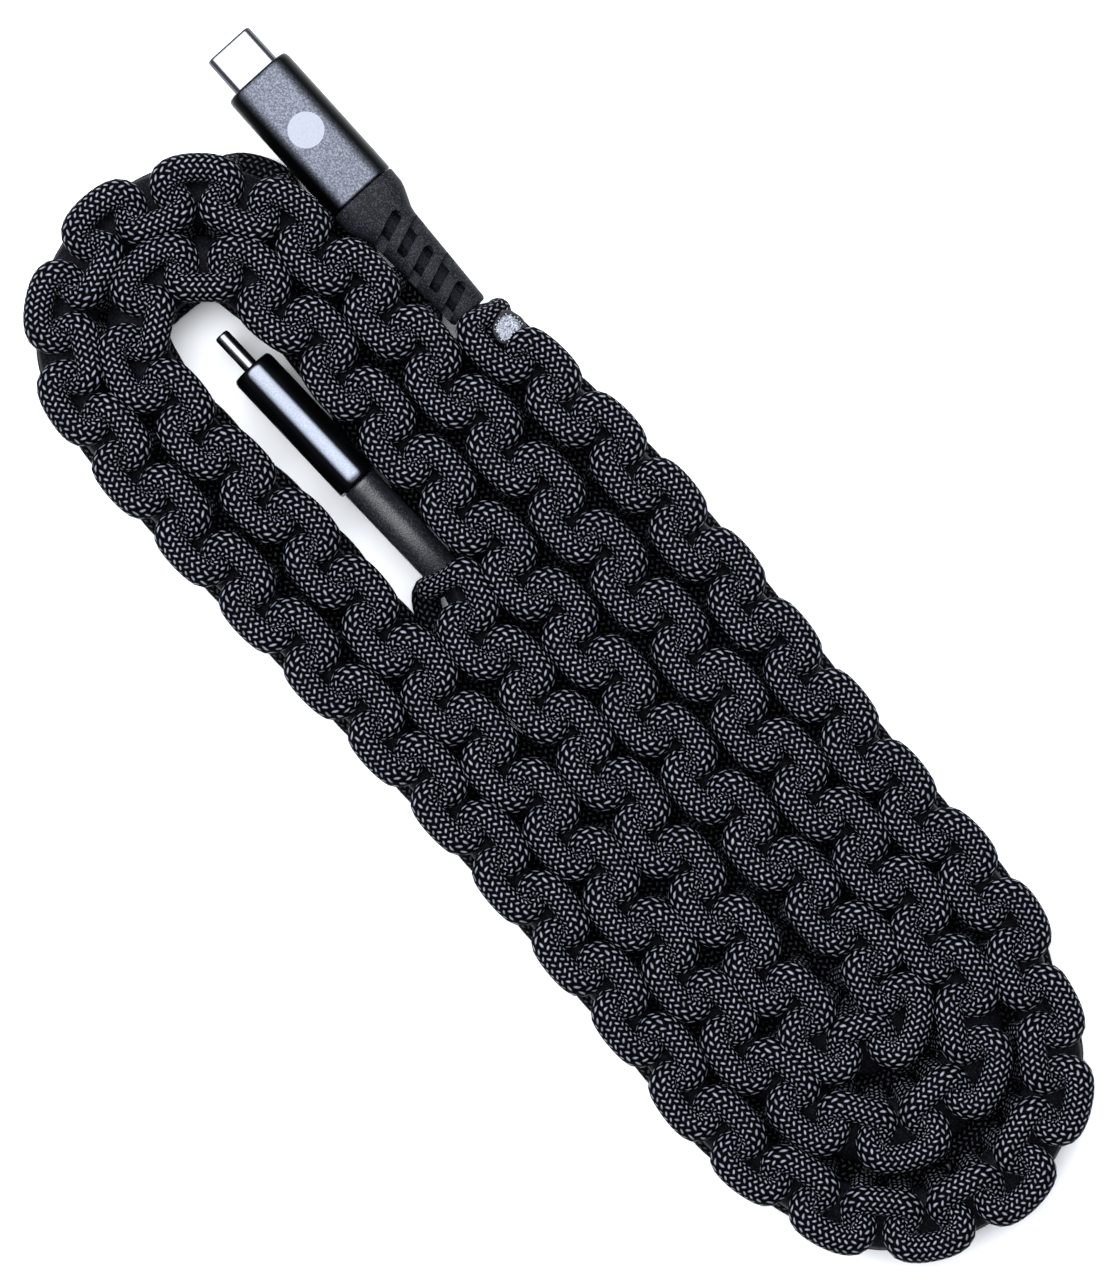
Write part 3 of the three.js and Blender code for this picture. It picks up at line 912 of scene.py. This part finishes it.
def carved(piece, cutter):
    """The piece with the cutter taken away from it."""
    cut = piece.modifiers.new("carve", "BOOLEAN")
    cut.operation, cut.solver, cut.object = "DIFFERENCE", "EXACT", cutter
    result = piece.evaluated_get(bpy.context.evaluated_depsgraph_get())
    mesh = bpy.data.meshes.new_from_object(result)
    piece.modifiers.clear()
    piece.data = mesh
    bpy.data.objects.remove(cutter)
    return outward(piece)


def joined(name, pieces):
    """One mesh object made of several."""
    work = bmesh.new()
    for piece in pieces:
        work.from_mesh(piece.data)
        bpy.data.objects.remove(piece)
    mesh = bpy.data.meshes.new(name)
    work.to_mesh(mesh)
    work.free()
    return outward(add_object(name, mesh))


class Plug:
    """One plug's own directions: along runs from its boot's cord end to its tip."""

    def __init__(self, name, joint, through, boot_length, shoulder):
        self.name = name
        self.shoulder = shoulder  # how far from the seam the housing starts to run straight
        self.origin = Vector(JOINTS[joint]["pos_m"])
        self.along = Vector(MOUNTS[f"{name}_front_face"]["axis"]).normalized()
        self.through = Vector(through)
        self.across = self.along.cross(self.through)
        self.boot_length = boot_length
        self.seam = boot_length + SEAM
        self.nose = self.seam + settings().plug.body_length

    def point(self, along, across, through):
        return tuple(self.origin + self.along * along + self.across * across + self.through * through)

    def ring(self, along, width, thickness, corner):
        return [self.point(along, across, through) for across, through in outline(width, thickness, corner)]


# Boots: metres from the cord's end, then shares of the housing's width and thickness.
SLOTTED_BOOT = [
    (0.0, 0.52, 0.78), (0.0004, 0.56, 0.82), (0.008, 0.62, 0.83), (0.0166, 0.69, 0.84),
    (0.0176, 0.72, 0.85), (0.0206, 0.94, 0.955), (0.0216, 0.985, 0.985), (0.0238, 1.0, 1.0),
    (0.0240, 0.985, 0.98),
]
PLAIN_BOOT = [
    (0.0, 0.46, 0.76), (0.0004, 0.50, 0.80), (0.010, 0.62, 0.82), (0.019, 0.74, 0.83), (0.0198, 0.76, 0.84),
    (0.0200, 0.74, 0.82),
]
SLOT_PLACES = [(0.0174 - 0.0036 * i, 1 if i % 2 else -1) for i in range(5)]
SLOT_SIZE = (0.0072, 0.0017)
SLOT_OFFSET = 0.0012  # how far a slot lies towards the edge it opens to
SLOT_SLANT = math.radians(21)
SLOT_DEPTHS = (0.0007, 0.006)  # from the boot's middle plane: where a slot ends and where its cutter does


def add_housing(plug, sizes):
    """A hollow housing with a rounded nose and a mouth for the shell."""
    width, thickness, corner = sizes.body_width, sizes.body_thickness, sizes.body_corner
    outside = [
        (plug.seam, 0.98, 0.975), (plug.seam + 0.0002, 1, 1), (plug.seam + plug.shoulder, 1, 1),
        (plug.nose - 0.0012, 1, 1), (plug.nose - 0.0009, 1, 1),
        (plug.nose - 0.00035, 0.985, 0.972), (plug.nose - 0.0001, 0.96, 0.935), (plug.nose, 0.935, 0.90),
    ]
    rings = [plug.ring(along, width * a, thickness * b, corner * b) for along, a, b in outside]
    gap = 0.0002
    mouth = (
        sizes.shell_width + gap, sizes.shell_thickness + gap, sizes.shell_thickness * SHELL_ROUNDNESS
    )
    inside = (width - 2 * WALL, thickness - 2 * WALL, corner - WALL)
    rings += [plug.ring(plug.nose, *mouth), plug.ring(plug.nose - 0.0012, *mouth)]
    rings += [plug.ring(plug.nose - 0.0013, *inside), plug.ring(plug.seam, *inside)]
    return loft(f"{plug.name}_body", rings, closed=True)


def add_shell(plug, sizes):
    """The folded steel tube that goes into a socket, its lip rolled in."""
    width, thickness = sizes.shell_width, sizes.shell_thickness
    tip, back, wall = plug.nose + sizes.shell_shown, plug.nose - 0.005, SHELL_WALL
    shape = [
        (back, 0), (tip - 0.0005, 0), (tip - 0.0002, 0.00005), (tip - 0.00005, 0.00014), (tip, 0.00026),
        (tip - 0.0001, 0.00040), (tip - 0.0004, wall * 1.3), (tip - 0.001, wall), (back, wall),
    ]
    rings = [
        plug.ring(
            along, width - 2 * inset, thickness - 2 * inset, (thickness - 2 * inset) * SHELL_ROUNDNESS
        )
        for along, inset in shape
    ]
    return loft(f"{plug.name}_steel_tube", rings, closed=True)


def add_boot(plug, sizes, profile, slotted):
    """The tapered strain relief round the cable."""
    width, thickness, corner = sizes.body_width, sizes.body_thickness, sizes.body_corner
    rings = [plug.ring(along, width * a, thickness * b, corner * b) for along, a, b in profile]
    bore = settings().cord.jacket + 0.0001
    rings += [plug.ring(along, bore, bore, bore * 0.49) for along in (plug.boot_length, 0.0)]
    boot = loft(f"{plug.name}_strain_relief", rings, closed=True)
    return carved(boot, joined("slot_cutter", slot_cutters(plug))) if slotted else boot


def slot_cutters(plug):
    """Slanted slots through both faces of a boot, open to one edge and then the other in turn."""
    cutters = []
    lean, reach = math.sin(SLOT_SLANT), math.cos(SLOT_SLANT)
    for place, side in SLOT_PLACES:
        flat = [
            (
                place + (a + side * SLOT_OFFSET) * lean + b * reach,
                (a + side * SLOT_OFFSET) * reach - b * lean,
            )
            for a, b in outline(*SLOT_SIZE, SLOT_SIZE[1] * 0.48, 5)
        ]
        for face in (-1, 1):
            rings = [[plug.point(u, c, face * depth) for u, c in flat] for depth in SLOT_DEPTHS]
            cutters.append(loft("slot", rings))
    return cutters


class CABLE_OT_plugs(bpy.types.Operator):
    """Add both plugs' housings, shells and strain reliefs."""

    bl_idname = "charging_cable.plugs"
    bl_label = "Plugs"

    def execute(self, context):
        sizes = settings().plug
        steel = satin_steel("shell_steel", tuple(sizes.steel_colour), 0.22)
        body, bright_body, boot_colour = (
            tuple(colour) for colour in (sizes.body_colour, sizes.edge_highlight_colour, sizes.boot_colour)
        )
        # Both housings paint shade round their rounded sides; the second housing's narrow range also paints a
        # highlight along the top of its edge.
        matt = anodised_metal("matt_anodised", body, 0.40, (0.80, 0.97))
        bright = anodised_metal("anodised_with_painted_highlight", bright_body, 0.30, (0.94, 0.985), 0.12)
        rough = moulded_rubber("boot_rubber", boot_colour, shine=0.05)
        smooth = moulded_rubber("smooth_boot_rubber", boot_colour, roughness=0.30, shine=0.34)
        first = Plug("plug_a", "plug_a_swing", (0, 0, 1), SLOTTED_BOOT[-1][0], shoulder=0.0003)
        second = Plug("plug_b", "plug_b_lift", (0, -1, 0), PLAIN_BOOT[-1][0], shoulder=0.0012)
        for plug, profile, metal, rubber in (
            (first, SLOTTED_BOOT, matt, rough), (second, PLAIN_BOOT, bright, smooth),
        ):
            name = plug.name
            finished(add_housing(plug, sizes), metal, name, [f"{name}_housing"])
            finished(add_shell(plug, sizes), steel, name, [f"{name}_shell"])
            boot = add_boot(plug, sizes, profile, slotted=plug is first)
            finished(boot, rubber, None, [f"{name}_boot"])
            plug.point(0, 0, 0)
            plug.point(0.005, 0, 0)
            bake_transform(boot)
        return {"FINISHED"}


# ---------- the melted end ----------
CUT_PLACE = (1.44, 0.00195)  # the half knot it lies beside, and how far to the left of the strap's middle
CUT_HEIGHT = 0.0068  # above the strap's axis
FIBRES = 80
CORE_RADIUS = 0.0019
GOLDEN_ANGLE = 137.508  # degrees from one fibre to the next


class CABLE_OT_cut_end(bpy.types.Operator):
    """Add the pale fibres of the strand's cut end and the ring of melted sheath round them."""

    bl_idname = "charging_cable.cut_end"
    bl_label = "Cut end"

    def execute(self, context):
        foot = self.foot()
        fibres = [self.fibre(foot, index) for index in range(FIBRES)]
        core = joined("paracord_core_end", [self.bundle(foot), *fibres])
        finished(core, cut_fibres("cut_fibres"), CORD_BODY)
        finished(self.collar(foot), melted_sheath("melted_sheath"), CORD_BODY)
        return {"FINISHED"}

    def foot(self):
        along, aside = np.array([along_at(CUT_PLACE[0])]), np.array([CUT_PLACE[1]])
        return Vector(STRAP.place(along, aside, np.array([0.0]))[0]) + Vector((0, 0, CUT_HEIGHT))

    def circle(self, centre, radius, height, sides=20, waves=0.0):
        ring = []
        for i in range(sides):
            turn = 2 * math.pi * i / sides
            reach = radius * (1 + waves * (math.sin(3 * turn) + 0.6 * math.sin(5 * turn + 1)))
            x, y = centre.x + reach * math.cos(turn), centre.y + reach * math.sin(turn)
            ring.append((x, y, centre.z + height))
        return ring

    def bundle(self, foot):
        shape = [
            (0.0018, -0.0010), (0.00185, 0.0), (0.0015, 0.0001), (0.0009, 0.0002), (0.0003, 0.0002),
        ]
        rings = [self.circle(foot, radius, height, waves=0.09) for radius, height in shape]
        return loft("bundle", rings)

    def fibre(self, foot, index):
        """One bundle of fibres, standing out of the core a little more than the next."""
        reach = CORE_RADIUS * math.sqrt((index + 0.5) / FIBRES)
        turn = math.radians(GOLDEN_ANGLE * index)
        length = 0.00085 - 0.18 * reach + 0.00022 * math.sin(5.1 * index)
        centre = foot + Vector((reach * math.cos(turn), reach * math.sin(turn), 0))
        lean = Vector((math.cos(turn), math.sin(turn), 0)) * 0.12 * reach
        shape = [
            (0.00012, -0.0004), (0.00013, length - 0.00006), (0.00009, length),
            (0.00003, length + 0.00003),
        ]
        rings = [
            self.circle(centre + lean * (height > 0), radius, height, 6) for radius, height in shape
        ]
        return loft("fibre", rings)

    def collar(self, foot):
        shape = [
            (0.0023, -0.0016), (0.0026, -0.0006), (0.00258, 0.0), (0.00235, 0.0003), (0.0020, 0.00035),
            (0.00185, 0.0001), (0.0018, -0.0004), (0.0018, -0.0016),
        ]
        rings = [self.circle(foot, radius, height, 28, waves=0.05) for radius, height in shape]
        return loft("melted_ring", rings, closed=True)


# ---------- the rest of the model's own pieces ----------
def plain_finishes():
    """A material for each kind of CAD piece that is shown as it is."""
    plug = settings().plug
    steel = satin_steel("inner_steel", tuple(plug.steel_colour))
    return {
        "shell": steel,
        "housing": anodised_metal("inner_anodised", tuple(plug.body_colour), 0.42, (0.8, 0.97)),
        "boot": moulded_rubber("inner_boot_rubber", tuple(plug.boot_colour), shine=0.06),
        "insulator": hard_moulding("insulator_moulding", (0.012, 0.012, 0.013)),
        "contact": gold_plate("contact_plate"),
        "latch": steel,
        "board": circuit_board("board_mask"),
        "chip": hard_moulding("chip_moulding", (0.015, 0.015, 0.016), 0.6),
        "capacitor": hard_moulding("capacitor_ceramic", (0.46, 0.32, 0.19), 0.4),
        "shield_can": steel,
        "inner_mould": hard_moulding("inner_moulding", (0.72, 0.70, 0.63)),
        "crimp_ring": steel,
        "jacket": moulded_rubber("jacket_end_rubber", (0.002, 0.002, 0.003), shine=0.03),
        "power_wire": hard_moulding("red_insulation", (0.43, 0.022, 0.016)),
        "data_plus_wire": hard_moulding("green_insulation", (0.025, 0.26, 0.07)),
        "ground_wire": hard_moulding("black_insulation", (0.022, 0.022, 0.024)),
        "data_minus_wire": hard_moulding("white_insulation", (0.79, 0.79, 0.77)),
        "sensing_wire": hard_moulding("blue_insulation", (0.026, 0.105, 0.43)),
        "mark": printed_ink("printed_mark"),
        "cover": hard_moulding("cover_core", (0.01, 0.01, 0.012)),
    }


class CABLE_OT_model_pieces(bpy.types.Operator):
    """Give every piece that the CAD model shows its own finish."""

    bl_idname = "charging_cable.model_pieces"
    bl_label = "Model pieces"

    def execute(self, context):
        finishes = plain_finishes()
        for name, node in frame["nodes"].items():
            kinds = [kind for kind in finishes if kind in name]
            if not kinds:
                raise RuntimeError(f"{name} has no finish")
            node.data.materials.clear()
            node.data.materials.append(finishes[kinds[0]])
        return {"FINISHED"}


# ---------- the add-on ----------
OPERATORS = [
    CABLE_OT_stage, CABLE_OT_cable, CABLE_OT_sleeve, CABLE_OT_knots, CABLE_OT_plugs, CABLE_OT_cut_end,
    CABLE_OT_model_pieces,
]


class CABLE_PT_panel(bpy.types.Panel):
    """Lists the cable's settings and pieces."""

    bl_idname = "CABLE_PT_panel"
    bl_label = "Charging cable"
    bl_space_type = "VIEW_3D"
    bl_region_type = "UI"
    bl_category = "Cable"

    def draw(self, context):
        cable = context.scene.charging_cable
        for group in (cable.cord, cable.plug, cable.stage):
            box = self.layout.box()
            for name in group.__annotations__:
                box.prop(group, name)
        for operator in OPERATORS:
            self.layout.operator(operator.bl_idname)


CLASSES = [CordSettings, PlugSettings, StageSettings, CableSettings, *OPERATORS, CABLE_PT_panel]


def register():
    for each in CLASSES:
        bpy.utils.register_class(each)
    bpy.types.Scene.charging_cable = bpy.props.PointerProperty(type=CableSettings)


def unregister():
    del bpy.types.Scene.charging_cable
    for each in reversed(CLASSES):
        bpy.utils.unregister_class(each)


def main():
    register()
    for operator in OPERATORS:
        group, name = operator.bl_idname.split(".")
        getattr(getattr(bpy.ops, group), name)()


if __name__ == "__main__":
    main()
